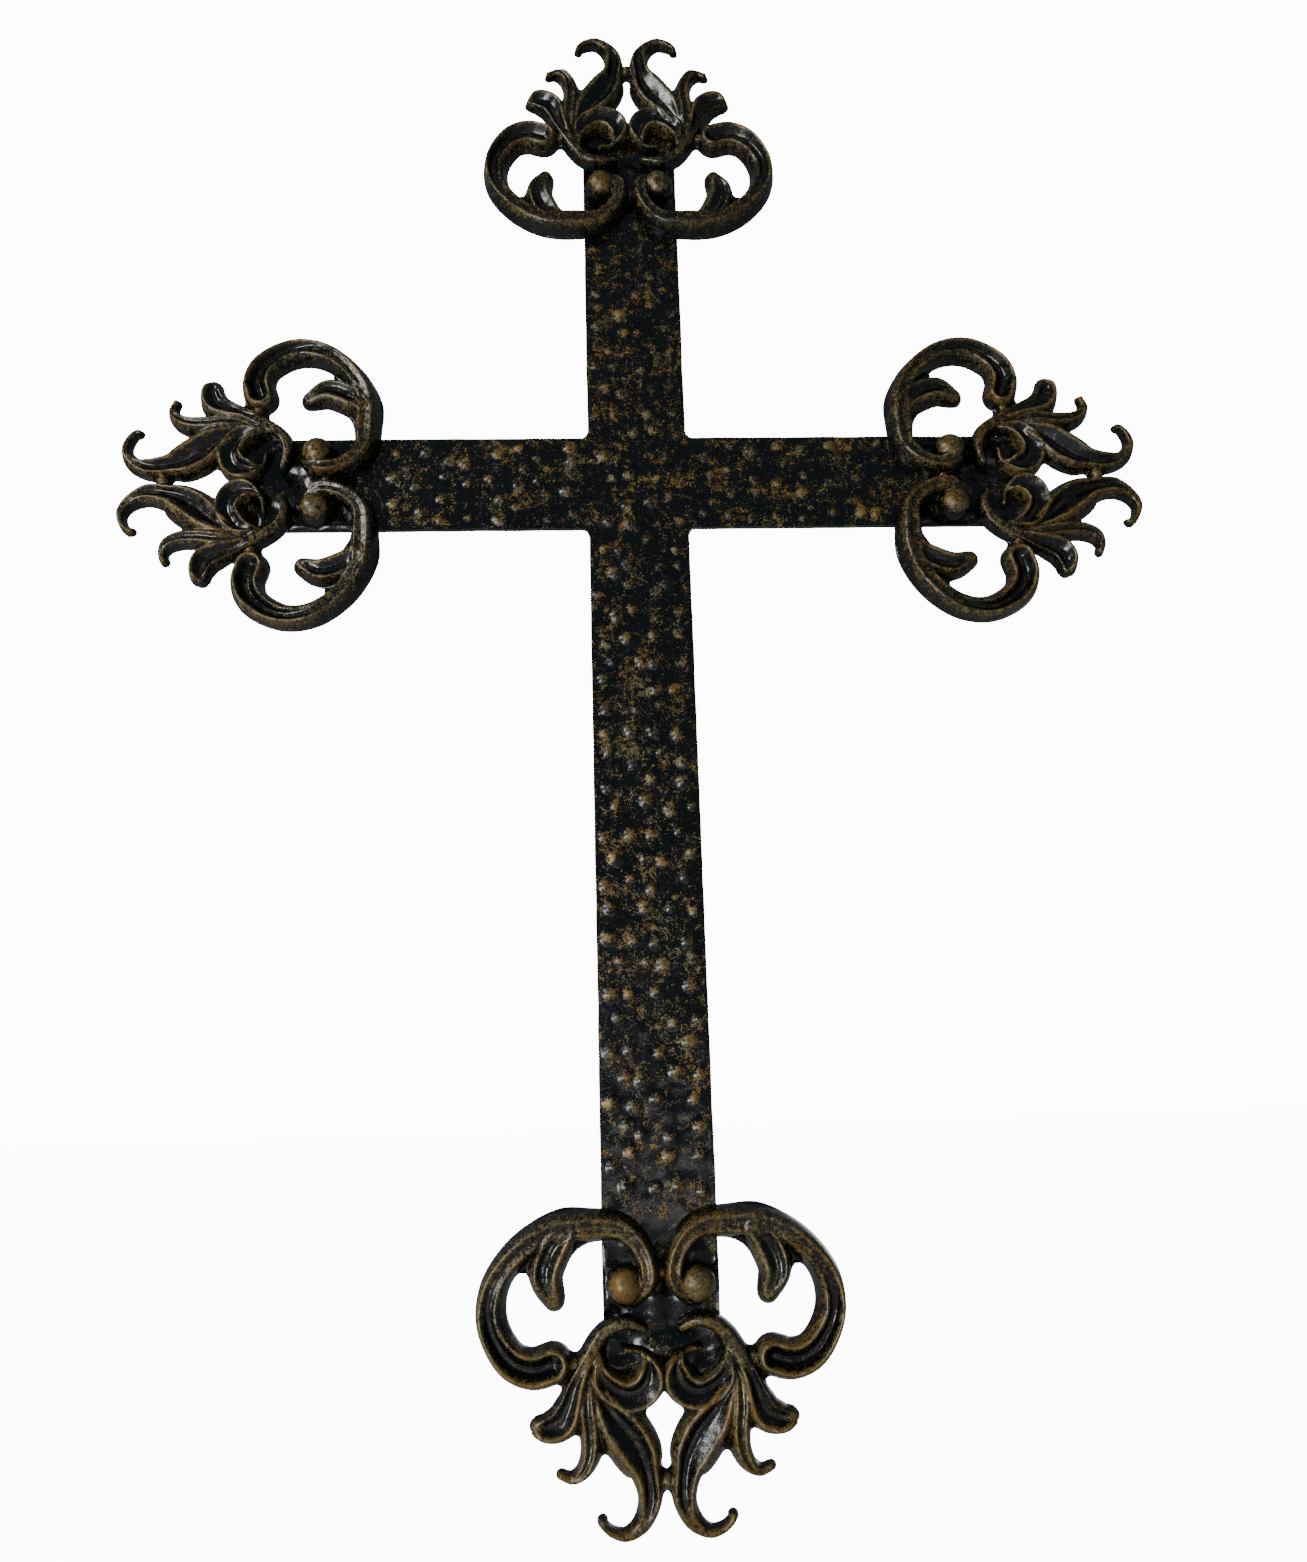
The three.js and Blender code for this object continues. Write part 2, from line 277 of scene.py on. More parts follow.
# The stage, in metres and watts: each softbox has its name, place, target, size and power
FLOOR_SIZE = 12
FLOOR_DROP = 0.06
FLOOR_GLOW = 12
BACKDROP_GLOW = 13
AMBIENT = 0.16
SOFTBOXES = [
    ("upper left softbox", (-1.36, -0.96, 0.48), (0, 0, -0.1), 0.46, 13),
    ("low left softbox", (-0.6, -0.75, -0.6), (0, 0, -0.15), 0.45, 19),
    ("low front softbox", (0.03, -1.3, -0.66), (0, 0, -0.2), 0.3, 8),
]
BACK_LIGHT_PLACE = (0.25, 1, 0.1)
BACK_LIGHT_STRENGTH = 0.6
BACK_LIGHT_ANGLE = math.radians(40)

# The balls, and the short ties between limbs that nearly touch: v, u, radius, height
KNOBS = {
    "ball": (15.2, 4, 8.2, 11),
    "side tie": (37.6, 34, 3, 6),
    "tie of the balls": (0, -0.6, 2.6, 5),
    "tie of the volutes": (0, 41, 3.4, 5),
    "tie of the long lobes": (0, 78.6, 3.6, 6.5),
}


def smoothstep(x):
    x = np.clip(x, 0, 1)
    return x * x * (3 - 2 * x)


def joined(a, b, reach):
    """The larger of two insides, with a fillet in the corner where their outlines meet."""
    return np.maximum(a, b) + reach / 4 * np.clip(1 - np.abs(a - b) / reach, 0, 1) ** 2


def sampled_spine(rows):
    """Points along a centripetal Catmull-Rom curve through the rows, with their widths and sections."""
    knots = np.array([(v, u, width, *section) for v, u, width, section in rows], float)
    knots = np.vstack([2 * knots[0] - knots[1], knots, 2 * knots[-1] - knots[-2]])
    gaps = np.linalg.norm(np.diff(knots[:, :2], axis=0), axis=1)[:, None] ** 0.5
    along = np.linspace(0, len(rows) - 1, SPINE_STEPS)
    first = np.minimum(along.astype(int), len(rows) - 2)
    a, b, c, d = (knots[first + k] for k in range(4))
    before, here, after = (gaps[first + k] for k in range(3))
    x = (along - first)[:, None]
    leave = ((b - a) / before - (c - a) / (before + here) + (c - b) / here) * here
    arrive = ((c - b) / here - (d - b) / (here + after) + (d - c) / after) * here
    square = 3 * (c - b) - 2 * leave - arrive
    cube = 2 * (b - c) + leave + arrive
    return b + leave * x + square * x**2 + cube * x**3


def limb_fields(grid, tip_lift, rows):
    """For each grid point: distance inside the limb's outline, height, lift of the back, gold, painted
    highlight.
    """
    spine = sampled_spine(rows)
    points = spine[:, :2]
    tangents = np.gradient(points, axis=0)
    tangents /= np.linalg.norm(tangents, axis=1)[:, None]
    reach = spine[:, 2].max()
    near = np.all((grid > points.min(axis=0) - reach) & (grid < points.max(axis=0) + reach), axis=1)
    spots = grid[near]
    apart = spots[:, None, :] - points[None, :, :]
    distance = np.hypot(apart[..., 0], apart[..., 1])
    closest = np.argmax(spine[None, :, 2] / 2 - distance, axis=1)
    row = spine[closest]
    half = row[:, 2] / 2
    off = (spots - row[:, :2]) / half[:, None]
    tangent = tangents[closest]
    side = off[:, 0] * tangent[:, 1] - off[:, 1] * tangent[:, 0]
    ahead = off[:, 0] * tangent[:, 0] + off[:, 1] * tangent[:, 1]
    ahead = np.where((closest == 0) | (closest == SPINE_STEPS - 1), ahead, 0)
    away = np.hypot(side, ahead)
    left, left_height, left_gold, low, low_height, right, right_height, right_gold = row[:, 3:].T
    # around a limb's end its two ridges run into each other, so both are blended by direction
    rightward = 0.5 + 0.5 * side / np.maximum(away, 1e-6)
    ridge = right * rightward - left * (1 - rightward)
    ridge_height = right_height * rightward + left_height * (1 - rightward)
    share = right_gold * rightward + left_gold * (1 - rightward)
    from_low = np.hypot(side - low, ahead)
    rightward = 0.5 + 0.5 * (side - low) / np.maximum(from_low, 1e-6)
    run = (right - low) * rightward + (low - left) * (1 - rightward)
    climb = np.clip(from_low / run, 0, 1)
    rise = SOFT_SHARE * smoothstep(climb) + (1 - SOFT_SHARE) * climb**SIDE_POWER
    between = low_height + (ridge_height - low_height) * rise
    fall = np.clip((away - ridge) / (1 - ridge), 0, 1)
    wall = EDGE_HEIGHT + (ridge_height - EDGE_HEIGHT) * (1 - fall**2)
    hollow = np.clip((ridge_height - low_height) / FULL_GROOVE, 0, 1)
    bead = np.exp(-((from_low * half / BEAD_RADIUS) ** 2)) * hollow
    between = between + BEAD_HEIGHT * bead
    past = (away - ridge) * half
    lip = np.exp(-((past / LIP_RADIUS) ** 2)) * hollow
    outer_crest = 1 - CREST_LOSS * smoothstep(past / CREST_OUTWARDS)
    crest = np.where(past > 0, outer_crest, smoothstep(1 + past / CREST_INWARDS))
    back = BACK_GOLD * smoothstep(BACK_SLOPE * (1 - away))
    rise_start, rise_end = TIP_RISE
    lift = tip_lift * smoothstep((closest / (SPINE_STEPS - 1) - rise_start) / (rise_end - rise_start))

    def spread(values, elsewhere):
        field = np.full(len(grid), elsewhere, float)
        field[near] = values
        return field

    height = np.minimum(between, wall) + LIP_HEIGHT * lip
    gilt = share * (crest * hollow + back * (1 - hollow))
    # a painted highlight: lighter gold on each ridge's lip and each groove's bead, where light catches
    # them
    painted_highlight = share * lip + BEAD_PAINTED_HIGHLIGHT * bead
    return (spread((1 - away) * half, OUTSIDE), spread(height, 0), spread(lift, 0),
            spread(gilt, 0), spread(painted_highlight, 0))


def blurred(field, mask, times):
    """The field smoothed with its neighbours that are in the mask."""
    weight = mask.astype(float)
    field = np.where(mask, field, 0)
    for _ in range(times):
        total = field * weight
        share = weight.copy()
        for axis in (0, 1):
            total = (np.roll(total, 1, axis) + 2 * total + np.roll(total, -1, axis)) / 4
            share = (np.roll(share, 1, axis) + 2 * share + np.roll(share, -1, axis)) / 4
        field = np.where(mask, total / np.maximum(share, 1e-9), 0)
    return field


def noise_field(v, u, scale, seed):
    flat = [noise.noise(Vector((a / scale, b / scale, seed))) for a, b in zip(v.ravel(), u.ravel())]
    return np.array(flat).reshape(v.shape)


def slab_mesh(name, v, u, front, rim, back, inside, cell, extras):
    """A closed mesh over the grid points that are inside, its outline moved onto the true edge."""
    kept = inside > -0.5 * cell
    cells = kept[:-1, :-1] & kept[1:, :-1] & kept[:-1, 1:] & kept[1:, 1:]
    used = np.zeros_like(kept)
    full = np.ones_like(kept)
    for i in (0, 1):
        for j in (0, 1):
            rows = slice(i, kept.shape[0] - 1 + i)
            columns = slice(j, kept.shape[1] - 1 + j)
            used[rows, columns] |= cells
            full[rows, columns] &= cells
    full[0, :] = full[-1, :] = False
    full[:, 0] = full[:, -1] = False
    border = used & ~full
    slope_v, slope_u = np.gradient(inside, cell)
    steep = np.maximum(slope_v**2 + slope_u**2, LEAST_SLOPE**2)
    move = np.where(border, np.clip(-inside / steep, -cell, cell), 0)
    front = np.where(border, rim, front)
    v = v + move * slope_v
    u = u + move * slope_u
    number = np.full(kept.shape, -1)
    number[used] = np.arange(used.sum())
    count = int(used.sum())
    front_points = np.stack([v[used], -front[used], u[used]], axis=1)
    back_points = np.stack([v[used], -back[used], u[used]], axis=1)
    i, j = np.nonzero(cells)
    corners = [number[i, j], number[i + 1, j], number[i + 1, j + 1], number[i, j + 1]]
    front_faces = np.stack(corners, axis=1)
    back_faces = front_faces[:, ::-1] + count
    padded = np.pad(cells, 1)
    walls = []
    sides = [((-1, 0), (0, 0), (0, 1)), ((1, 0), (1, 1), (1, 0)),
             ((0, -1), (1, 0), (0, 0)), ((0, 1), (0, 1), (1, 1))]
    for (di, dj), start, end in sides:
        open_side = ~padded[i + 1 + di, j + 1 + dj]
        a = number[i[open_side] + start[0], j[open_side] + start[1]]
        b = number[i[open_side] + end[0], j[open_side] + end[1]]
        walls.append(np.stack([a, b, b + count, a + count], axis=1))
    faces = np.vstack([front_faces, back_faces, *walls])
    points = np.vstack([front_points, back_points]) * MM
    mesh = bpy.data.meshes.new(name)
    mesh.vertices.add(len(points))
    mesh.vertices.foreach_set("co", points.ravel())
    mesh.loops.add(faces.size)
    mesh.loops.foreach_set("vertex_index", faces.ravel().astype(np.int32))
    mesh.polygons.add(len(faces))
    mesh.polygons.foreach_set("loop_start", (np.arange(len(faces)) * 4).astype(np.int32))
    mesh.update(calc_edges=True)
    for label, field in extras.items():
        values = np.concatenate([field[used], np.zeros(count)])
        attribute = mesh.attributes.new(label, "FLOAT", "POINT")
        attribute.data.foreach_set("value", values.astype(np.float32))
    mesh.shade_smooth()
    mesh.set_sharp_from_angle(angle=SHARP_ANGLE)
    return mesh


def casting_mesh():
    """The finial, its back on y = 0, in the casting's own frame."""
    plan = CASTING_WIDTH / PATTERN_WIDTH  # the pattern's size on the object
    half_v = np.arange(0, GRID_WIDTH, CELL)
    all_u = np.arange(GRID_START, GRID_END, CELL)
    v, u = np.meshgrid(half_v, all_u, indexing="ij")
    grid = np.stack([v.ravel(), u.ravel()], axis=1)
    inside = np.full(len(grid), OUTSIDE)
    height = np.zeros(len(grid))
    lift = np.full(len(grid), MOST_LIFT)
    gilt = np.zeros(len(grid))
    # the painted highlight of lighter gold along lips and beads
    painted_highlight = np.zeros(len(grid))

    def cover(fillet, new_inside, new_height, new_lift, new_gilt, new_painted_highlight):
        nonlocal inside, height, lift, gilt, painted_highlight
        covered = new_inside > -CELL
        higher = covered & (new_height > height)
        gilt = np.where(higher, new_gilt, gilt)
        painted_highlight = np.where(higher, new_painted_highlight, painted_highlight)
        height = np.where(higher, new_height, height)
        lift = np.where(covered, np.minimum(lift, new_lift), lift)
        inside = joined(inside, new_inside, fillet)

    for name, (tip_lift, rows) in LIMBS.items():
        fillet = LEAF_FILLET if name == LEAF_NAME else FILLET
        cover(fillet, *limb_fields(grid, tip_lift, rows))
    leaf_inside, leaf_height, _, leaf_gilt, leaf_painted_highlight = limb_fields(grid, *LIMBS[LEAF_NAME])
    # smoothstep is 0 outside the leaf, so nothing changes there
    cut = smoothstep(leaf_inside / LEAF_CUT) * smoothstep((grid[:, 1] - LEAF_CUT_START) / LEAF_CUT_RUN)
    height = height + (leaf_height - height) * cut
    gilt = gilt + (leaf_gilt - gilt) * cut
    painted_highlight = painted_highlight + (leaf_painted_highlight - painted_highlight) * cut
    for knob_v, knob_u, radius, top in KNOBS.values():
        away = np.hypot(grid[:, 0] - knob_v, grid[:, 1] - knob_u) / radius
        dome = EDGE_HEIGHT + (top - EDGE_HEIGHT) * np.sqrt(np.clip(1 - away**2, 0, 1))
        gold = smoothstep(KNOB_SLOPE * (KNOB_REACH - away))
        cover(FILLET, (1 - away) * radius, dome, 0, gold, np.zeros_like(away))

    def mirrored(field, sign=1):
        field = field.reshape(v.shape)
        return np.concatenate([sign * field[:0:-1], field])

    fields = (inside, height, lift, gilt, painted_highlight)
    inside, height, lift, gilt, painted_highlight = (mirrored(field) for field in fields)
    v, u = mirrored(v, -1), mirrored(u)
    mask = inside > -CELL
    web = EDGE_HEIGHT + WEB_RISE * np.clip(inside, 0, WEB_REACH)
    height = blurred(np.maximum(height, web), mask, 1)
    lift = blurred(np.where(mask, lift, 0), mask, LIFT_BLUR)
    proud = np.clip((height - blurred(height, mask, PROUD_BLUR)) / PROUD_RANGE + 0.5, 0, 1)
    gilt = (1 - PROUD_SHARE) * gilt + PROUD_SHARE * proud
    height = height + WAVER * noise_field(v, u, WAVER_SCALE, WAVER_SEED)
    height = np.minimum(height, CASTING_DEPTH - TOP_GAP)
    height = np.maximum(height, lift + LEAST_HEIGHT)
    rim = np.maximum(EDGE_HEIGHT, lift + LEAST_HEIGHT)
    # the mesh carries the gold and the painted highlight as attributes
    mesh = slab_mesh("casting", v * plan, u * plan, height, rim, lift, inside * plan, CELL * plan,
                     {"gilt": gilt, "painted_highlight": painted_highlight})
    points = np.empty(len(mesh.vertices) * 3)
    mesh.vertices.foreach_get("co", points)
    points = points.reshape(-1, 3)
    origin = BAR_HIGH.z - BAR_TAIL
    for axis, lowest, highest in ((0, CASTING_LOW.x, CASTING_HIGH.x),
                                  (2, CASTING_LOW.z - origin, CASTING_HIGH.z - origin)):
        low, high = points[:, axis].min(), points[:, axis].max()
        share = (points[:, axis] - low) / (high - low)
        points[:, axis] = (lowest + CASTING_GAP + share * (highest - lowest - 2 * CASTING_GAP)) * MM
    mesh.vertices.foreach_set("co", points.ravel())
    return mesh


def chance(n):
    """The same scattered numbers from 0 to 1 as the solids' bumps use."""
    value = math.sin(n * SCATTER_STEP) * SCATTER_SIZE
    return value - math.floor(value)


def bump_spots(start, end, seed):
    rows = max(1, round((end - start) / BUMP_ROW_PITCH))
    edge = BAR_WIDTH / 2 - BUMP_MARGIN
    for row in range(rows):
        for column in range(BUMP_COLUMNS):
            n = seed + row * BUMP_COLUMNS + column + 1
            if chance(n) <= BUMP_MISSING:
                continue
            radius = BUMP_RADIUS + BUMP_RADIUS_SPREAD * chance(n + RADIUS_DRAW) ** 2
            stagger = (0.5 if row % 2 else -0.5) * BUMP_STAGGER
            along = start + (end - start) * (row + 0.5) / rows
            along += BUMP_WANDER * (2 * chance(n + ALONG_DRAW) - 1)
            across = -edge + 2 * edge * (column + 0.5) / BUMP_COLUMNS + stagger
            across += BUMP_WANDER * (2 * chance(n + ACROSS_DRAW) - 1)
            along = min(max(along, start + BUMP_MARGIN + radius), end - BUMP_MARGIN - radius)
            across = min(max(across, radius - edge), edge - radius)
            yield along, across, radius


def cross_edge(x, z):
    """Distance inside the outline of the three bars as one sheet, with the welds in its corners."""
    half = BAR_WIDTH / 2
    upright = np.minimum(half - np.abs(x), np.minimum(z - BAR_LOW.z, BAR_HIGH.z - z))
    weld = np.clip(half + WELD_LEG - np.abs(x), 0, WELD_LEG) ** 2 / WELD_LEG
    arms = np.minimum(half + weld - np.abs(z), ARM_HIGH.x - np.abs(x))
    return np.maximum(upright, arms)


def bar_mesh(name, low, high, bumps):
    """A punched flat bar between two corners, x then z, its back on y = 0."""
    columns = round((high[0] - low[0]) / BAR_CELL)
    rows = round((high[1] - low[1]) / BAR_CELL)
    across = np.linspace(low[0], high[0], columns + 1)
    along = np.linspace(low[1], high[1], rows + 1)
    x, z = np.meshgrid(across, along, indexing="ij")
    edge = cross_edge(x, z)
    is_arm = abs(low[0] + high[0]) > 1
    tongue = np.clip(BAR_WIDTH / 2 - np.abs(x), 0, 1) if is_arm else 0
    domes = np.zeros(x.shape)
    for bump_x, bump_z, radius in bumps:
        away = np.hypot(x - bump_x, z - bump_z) / radius
        domes = np.maximum(domes, BUMP_SLOPE * radius * np.clip(1 - away**2, 0, 1) ** BUMP_POWER)
    middle = (BAR_HIGH.z + BAR_LOW.z) / 2
    past_end = np.maximum(np.abs(x) - ARM_HIGH.x, np.abs(z - middle) - (BAR_HIGH.z - middle))
    under_casting = smoothstep((past_end + BAR_TAIL + HAMMER_START) / HAMMER_RUN)
    hammer_depth = HAMMER_DEPTH + HAMMER_UNDER_CASTING * under_casting
    hammered = hammer_depth * noise_field(x, z, HAMMER_SCALE, HAMMER_SEED)
    hammered += RIPPLE_DEPTH * noise_field(x, z, RIPPLE_SCALE, RIPPLE_SEED)
    fade = smoothstep(edge / EDGE_FADE)
    front = BAR_THICKNESS + (domes + hammered) * fade - TONGUE_DROP * tongue
    front -= EDGE_DROP * (1 - smoothstep(edge / EDGE_DROP_RUN))
    front = np.clip(front, LEAST_THICKNESS, -BAR_LOW.y - BAR_GAP) - UNDER_CASTING_DROP * under_casting
    back = DIMPLE_SHARE * domes * fade
    inside = edge - EDGE_INSET - EDGE_WANDER * noise_field(x, z, EDGE_SCALE, EDGE_SEED)
    at_end = np.minimum(x - low[0], high[0] - x) < 0.5 * BAR_CELL
    inside = np.where(at_end, np.minimum(inside, 0), inside)
    gilt = np.clip(domes / BUMP_GOLD_HEIGHT, 0, 1) - UNDER_CASTING_GOLD_LOSS * under_casting
    # the bars get no painted highlight
    return slab_mesh(name, x, z, front, front, back, inside, across[1] - across[0],
                     {"gilt": gilt, "painted_highlight": np.zeros_like(domes)})


def gilt_and_shade_copy(master, share):
    """A copy of the casting with its share of gold changed, partly the gilding's own spread and partly
    painted light and shade.
    """
    mesh = master.copy()
    gilt = mesh.attributes["gilt"].data
    values = np.empty(len(gilt), np.float32)
    gilt.foreach_get("value", values)
    gilt.foreach_set("value", values * share)
    return mesh


def add_piece(name, mesh, turn, place, node, finish):
    piece = bpy.data.objects.new(name, mesh)
    bpy.context.collection.objects.link(piece)
    mesh.transform(Euler((0, turn, 0)).to_matrix().to_4x4())
    mesh.transform(Matrix.Translation(Vector(place) * MM))
    mesh.materials.append(finish)
    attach(piece, "root")
    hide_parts(node)
    return piece


def painted(name, threshold, softness, grain, crests, patches, sheen, warm, richness):
    """Black paint with antique gold sponged on what stands proud, and a painted highlight of lighter gold
    along the crests and the grooves' beads.

    threshold and softness say how much of the noise is gold, grain is the noise's scale, crests and
    patches are the shares of the relief and of loose clusters, sheen is the black's roughness, warm is
    where the gold turns rusty, and richness scales the gold's colours.
    """
    material = bpy.data.materials.new(name)
    material.use_nodes = True
    nodes = material.node_tree.nodes
    links = material.node_tree.links
    shader = nodes["Principled BSDF"]

    def node(kind, **settings):
        made = nodes.new(kind)
        for key, value in settings.items():
            if hasattr(made, key):
                setattr(made, key, value)
            else:
                made.inputs[key].default_value = value
        return made

    def maths(operation, first, second):
        made = node("ShaderNodeMath", operation=operation)
        for socket, value in zip(made.inputs, (first, second)):
            if isinstance(value, (int, float)):
                socket.default_value = value
            else:
                links.new(value, socket)
        return made.outputs[0]

    def step(value, low, high):
        made = node("ShaderNodeMapRange", interpolation_type="SMOOTHSTEP")
        links.new(value, made.inputs["Value"])
        made.inputs["From Min"].default_value = low
        made.inputs["From Max"].default_value = high
        return made.outputs["Result"]

    place = node("ShaderNodeTexCoord").outputs["Object"]

    def clouds(scale, detail, roughness=0.6):
        made = node("ShaderNodeTexNoise", Scale=scale, Detail=detail, Roughness=roughness)
        links.new(place, made.inputs["Vector"])
        return made.outputs["Fac"]

    def blend(share, first, second):
        made = node("ShaderNodeMix", data_type="RGBA")
        links.new(share, made.inputs["Factor"])
        # a colour mix has its colours on the sockets named A and B of its colour kind
        for socket, value in zip((made.inputs[6], made.inputs[7]), (first, second)):
            if isinstance(value, tuple):
                socket.default_value = (*value, 1)
            else:
                links.new(value, socket)
        return made.outputs[2]

    gilt = node("ShaderNodeAttribute", attribute_type="GEOMETRY", attribute_name="gilt").outputs["Fac"]
    # the painted highlight: lighter gold along crests and beads
    painted_highlight = node("ShaderNodeAttribute", attribute_type="GEOMETRY", attribute_name="painted_highlight").outputs["Fac"]
    large_patches = step(clouds(scale=60, detail=4, roughness=0.7), low=0.56, high=0.7)
    cluster = step(clouds(scale=80, detail=5, roughness=0.75), low=0.42, high=0.64)
    cluster = maths("ADD", cluster, maths("MULTIPLY", large_patches, LARGE_PATCH_SHARE))
    worn = maths("ADD", clouds(grain, detail=3, roughness=0.7), maths("MULTIPLY", cluster, patches))
    worn = maths("ADD", worn, maths("MULTIPLY", clouds(scale=300, detail=2), MEDIUM_GRAIN_SHARE))
    worn = maths("ADD", worn, maths("MULTIPLY", gilt, crests))
    gold = step(worn, threshold - softness, threshold + softness)
    # the painted highlight, broken up by noise, turns the gold cream
    highlight_breakup = step(clouds(scale=260, detail=3, roughness=0.7), low=0.42, high=0.72)
    highlight_share = maths("MULTIPLY", painted_highlight, highlight_breakup)
    gold = maths("MAXIMUM", gold, highlight_share)

    black = blend(clouds(scale=60, detail=2), BLUE_BLACK, GREEN_BLACK)
    dull, tan, rust = (tuple(richness * part for part in colour)
                       for colour in (DULL_GOLD, TAN_GOLD, RUSTY_GOLD))
    mottled = blend(step(clouds(scale=500, detail=4, roughness=0.7), low=0.36, high=0.64), dull, tan)
    mottled = blend(step(clouds(scale=45, detail=2), warm, warm + RUST_RUN), mottled, rust)
    gold_with_highlight = blend(highlight_share, mottled, PAINTED_HIGHLIGHT_GOLD)
    links.new(blend(gold, black, gold_with_highlight), shader.inputs["Base Color"])
    haze = maths("MULTIPLY", step(clouds(scale=35, detail=3), low=0.4, high=0.65), HAZE)
    rough = maths("ADD", maths("MULTIPLY", gold, GOLD_ROUGHNESS - sheen), sheen)
    links.new(maths("ADD", rough, haze), shader.inputs["Roughness"])
    links.new(maths("MULTIPLY", gold, GOLD_METALLIC), shader.inputs["Metallic"])
    bump = node("ShaderNodeBump", Strength=0.35, Distance=0.0003)
    paint_height = maths("ADD", clouds(scale=500, detail=2), maths("MULTIPLY", gold, GOLD_THICKNESS))
    links.new(paint_height, bump.inputs["Height"])
    links.new(bump.outputs["Normal"], shader.inputs["Normal"])
    return material


def build_object():
    bar_finish = painted("bar paint", threshold=0.93, softness=0.03, grain=1500, crests=0.12,
                         patches=0.14, sheen=0.19, warm=0.4, richness=1.5)
    casting_finish = painted("casting paint", threshold=1.02, softness=0.17, grain=900, crests=0.4,
                             patches=0.04, sheen=0.17, warm=0.42, richness=1.1)
    half = BAR_WIDTH / 2
    covered = BAR_TAIL + CASTING_REACH
    upright_bumps = bump_spots(BAR_LOW.z + covered, BAR_HIGH.z - covered, 0)
    arm_run = (ARM_LOW.x + WELD_LEG, ARM_HIGH.x - covered)
    tall = half + WELD_LEG
    bars = [
        ("upright_sheet", (-half, BAR_LOW.z), (half, BAR_HIGH.z),
         [(-v, u, radius) for u, v, radius in upright_bumps], "upright_bar"),
        ("right_arm_sheet", (half - BAR_CELL, -tall), (ARM_HIGH.x, tall),
         [(u, v, radius) for u, v, radius in bump_spots(*arm_run, RIGHT_ARM_SEED)], "right_arm"),
        ("left_arm_sheet", (-ARM_HIGH.x, -tall), (BAR_CELL - half, tall),
         [(-u, -v, radius) for u, v, radius in bump_spots(*arm_run, LEFT_ARM_SEED)], "left_arm"),
    ]
    for name, low, high, bumps, node in bars:
        add_piece(name, bar_mesh(name, low, high, bumps), 0, (0, 0, 0), node, bar_finish)
    master = casting_mesh()
    casting_back = CASTING_HIGH.y
    # name, turn, place, the solid's node, and its share of gold, which differs between the four: partly
    # the gilding's own spread, partly painted light and shade, with more gold on the lower casting nearer
    # the lamps and less on the upper
    spots = [
        ("upper_casting", 0, (0, casting_back, BAR_HIGH.z - BAR_TAIL), "upper_finial", 0.74),
        ("right_casting", 90, (ARM_HIGH.x - BAR_TAIL, casting_back, 0), "right_finial", 0.85),
        ("lower_casting", 180, (0, casting_back, BAR_LOW.z + BAR_TAIL), "lower_finial", 1),
        ("left_casting", -90, (BAR_TAIL - ARM_HIGH.x, casting_back, 0), "left_finial", 0.78),
    ]
    for name, turn, place, node, gold in spots:
        mesh = gilt_and_shade_copy(master, gold)
        add_piece(name, mesh, math.radians(turn), place, node, casting_finish)


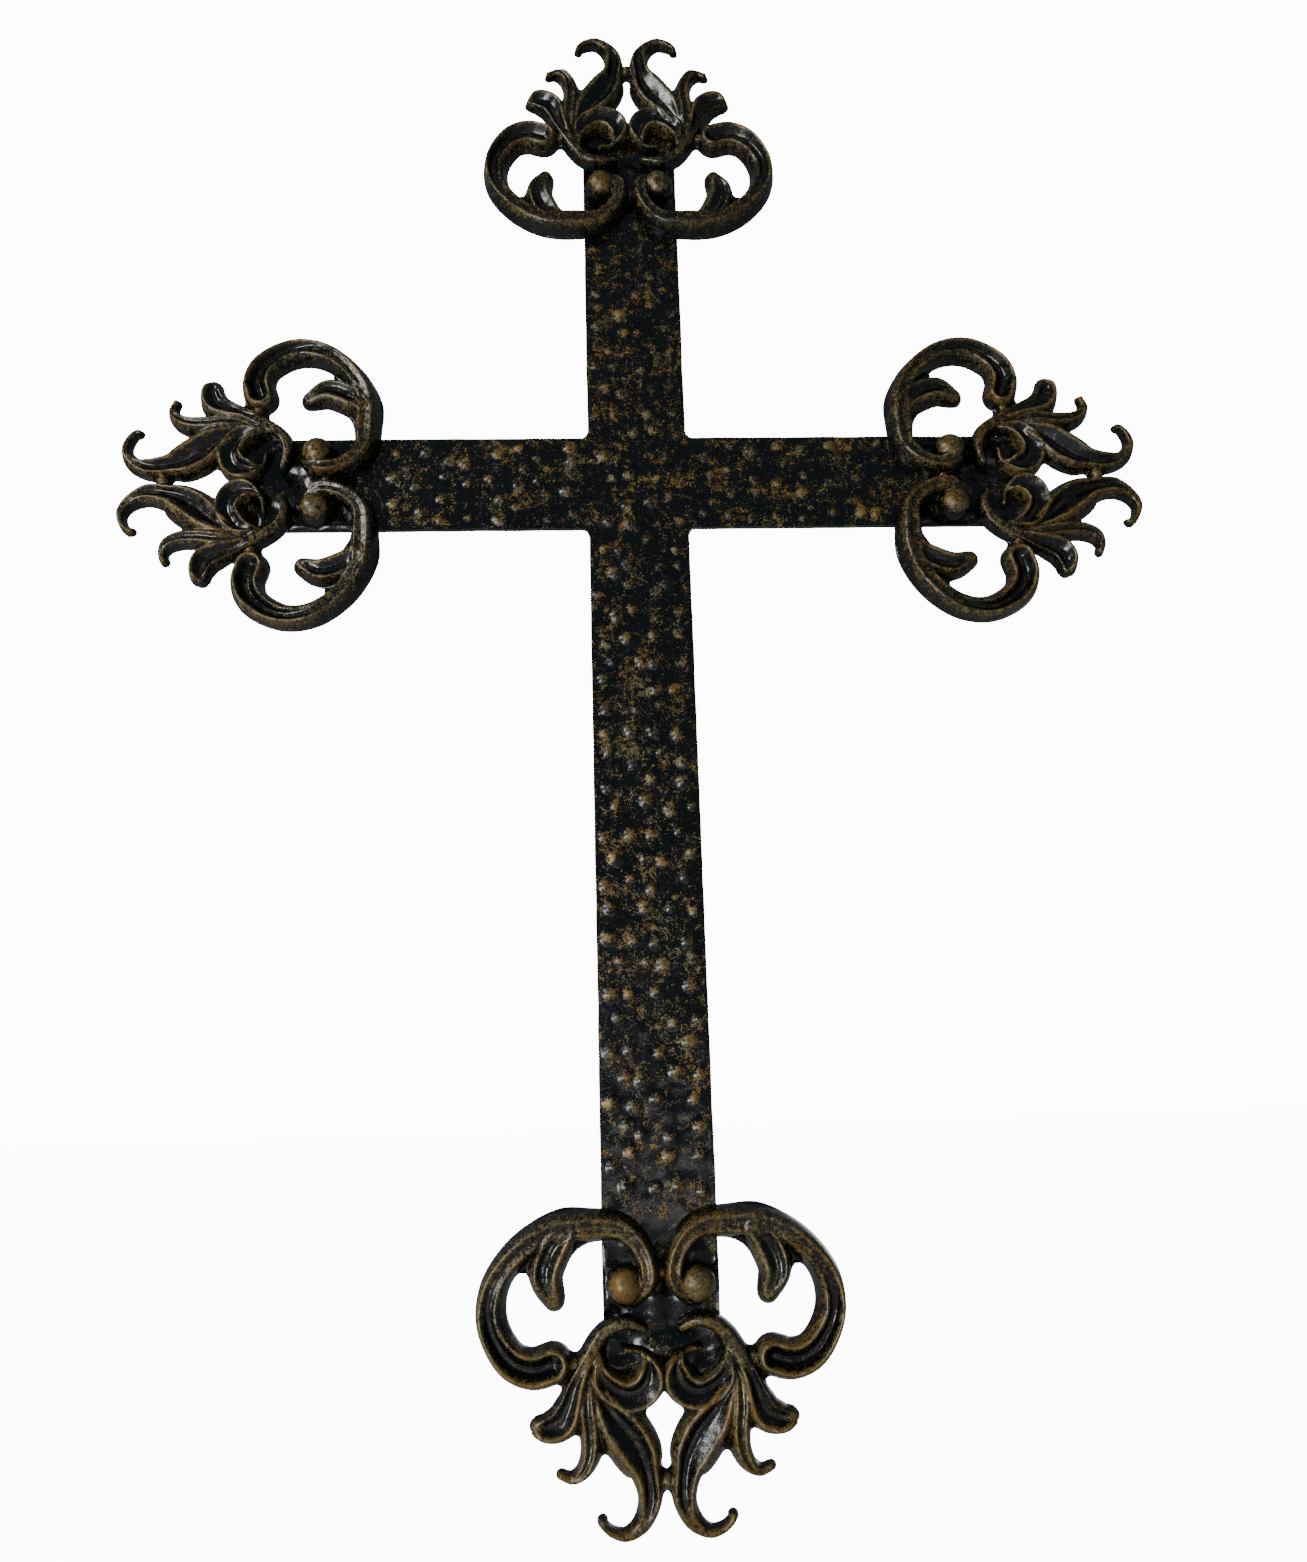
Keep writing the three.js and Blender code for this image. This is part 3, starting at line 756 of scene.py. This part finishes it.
def build_stage():
    # the glow of the floor and the backdrop reaches the camera alone and doesn't light the cross
    white = bpy.data.materials.new("pale backdrop")
    white.use_nodes = True
    nodes = white.node_tree.nodes
    links = white.node_tree.links
    shader = nodes["Principled BSDF"]
    shader.inputs["Base Color"].default_value = (0.9, 0.9, 0.9, 1)
    shader.inputs["Roughness"].default_value = 0.9
    shader.inputs["Emission Color"].default_value = (1, 1, 1, 1)
    glow = nodes.new("ShaderNodeMath")
    glow.operation = "MULTIPLY"
    glow.inputs[1].default_value = FLOOR_GLOW
    rays = nodes.new("ShaderNodeLightPath")
    links.new(rays.outputs["Is Camera Ray"], glow.inputs[0])
    links.new(glow.outputs[0], shader.inputs["Emission Strength"])
    bpy.ops.mesh.primitive_plane_add(size=FLOOR_SIZE, location=(0, 0, cad_box[0].z - FLOOR_DROP))
    floor = bpy.context.object
    floor.name = "pale floor"
    floor.data.materials.append(white)

    world = bpy.data.worlds.new("studio")
    bpy.context.scene.world = world
    world.use_nodes = True
    nodes = world.node_tree.nodes
    links = world.node_tree.links
    dim = nodes["Background"]
    dim.inputs["Color"].default_value = (0.75, 0.9, 1, 1)
    dim.inputs["Strength"].default_value = AMBIENT
    seen = nodes.new("ShaderNodeBackground")
    seen.inputs["Strength"].default_value = BACKDROP_GLOW
    seen.inputs["Color"].default_value = (1, 1, 1, 1)
    rays = nodes.new("ShaderNodeLightPath")
    mix = nodes.new("ShaderNodeMixShader")
    links.new(rays.outputs["Is Camera Ray"], mix.inputs[0])
    links.new(dim.outputs[0], mix.inputs[1])
    links.new(seen.outputs[0], mix.inputs[2])
    links.new(mix.outputs[0], nodes["World Output"].inputs["Surface"])

    def add_lamp(light, place, target):
        lamp = bpy.data.objects.new(light.name, light)
        lamp.location = place
        lamp.rotation_euler = (Vector(target) - Vector(place)).to_track_quat("-Z", "Y").to_euler()
        lamp.visible_camera = False
        bpy.context.collection.objects.link(lamp)

    for name, place, target, size, power in SOFTBOXES:
        light = bpy.data.lights.new(name, "AREA")
        light.energy = power
        light.size = size
        add_lamp(light, place, target)
    # a weak, wide light, which shows the back without a glare on the front's edges
    back_light = bpy.data.lights.new("back light", "SUN")
    back_light.energy = BACK_LIGHT_STRENGTH
    back_light.angle = BACK_LIGHT_ANGLE
    add_lamp(back_light, BACK_LIGHT_PLACE, (0, 0, 0))


def build_camera():
    camera = bpy.data.objects.new("camera", bpy.data.cameras.new("camera"))
    camera.data.lens = CAMERA_LENS
    camera.data.sensor_width = CAMERA_SENSOR
    camera.location = CAMERA_PLACE
    camera.rotation_euler = [math.radians(angle) for angle in CAMERA_TURN]
    bpy.context.collection.objects.link(camera)
    bpy.context.scene.camera = camera


build_object()
build_stage()
build_camera()
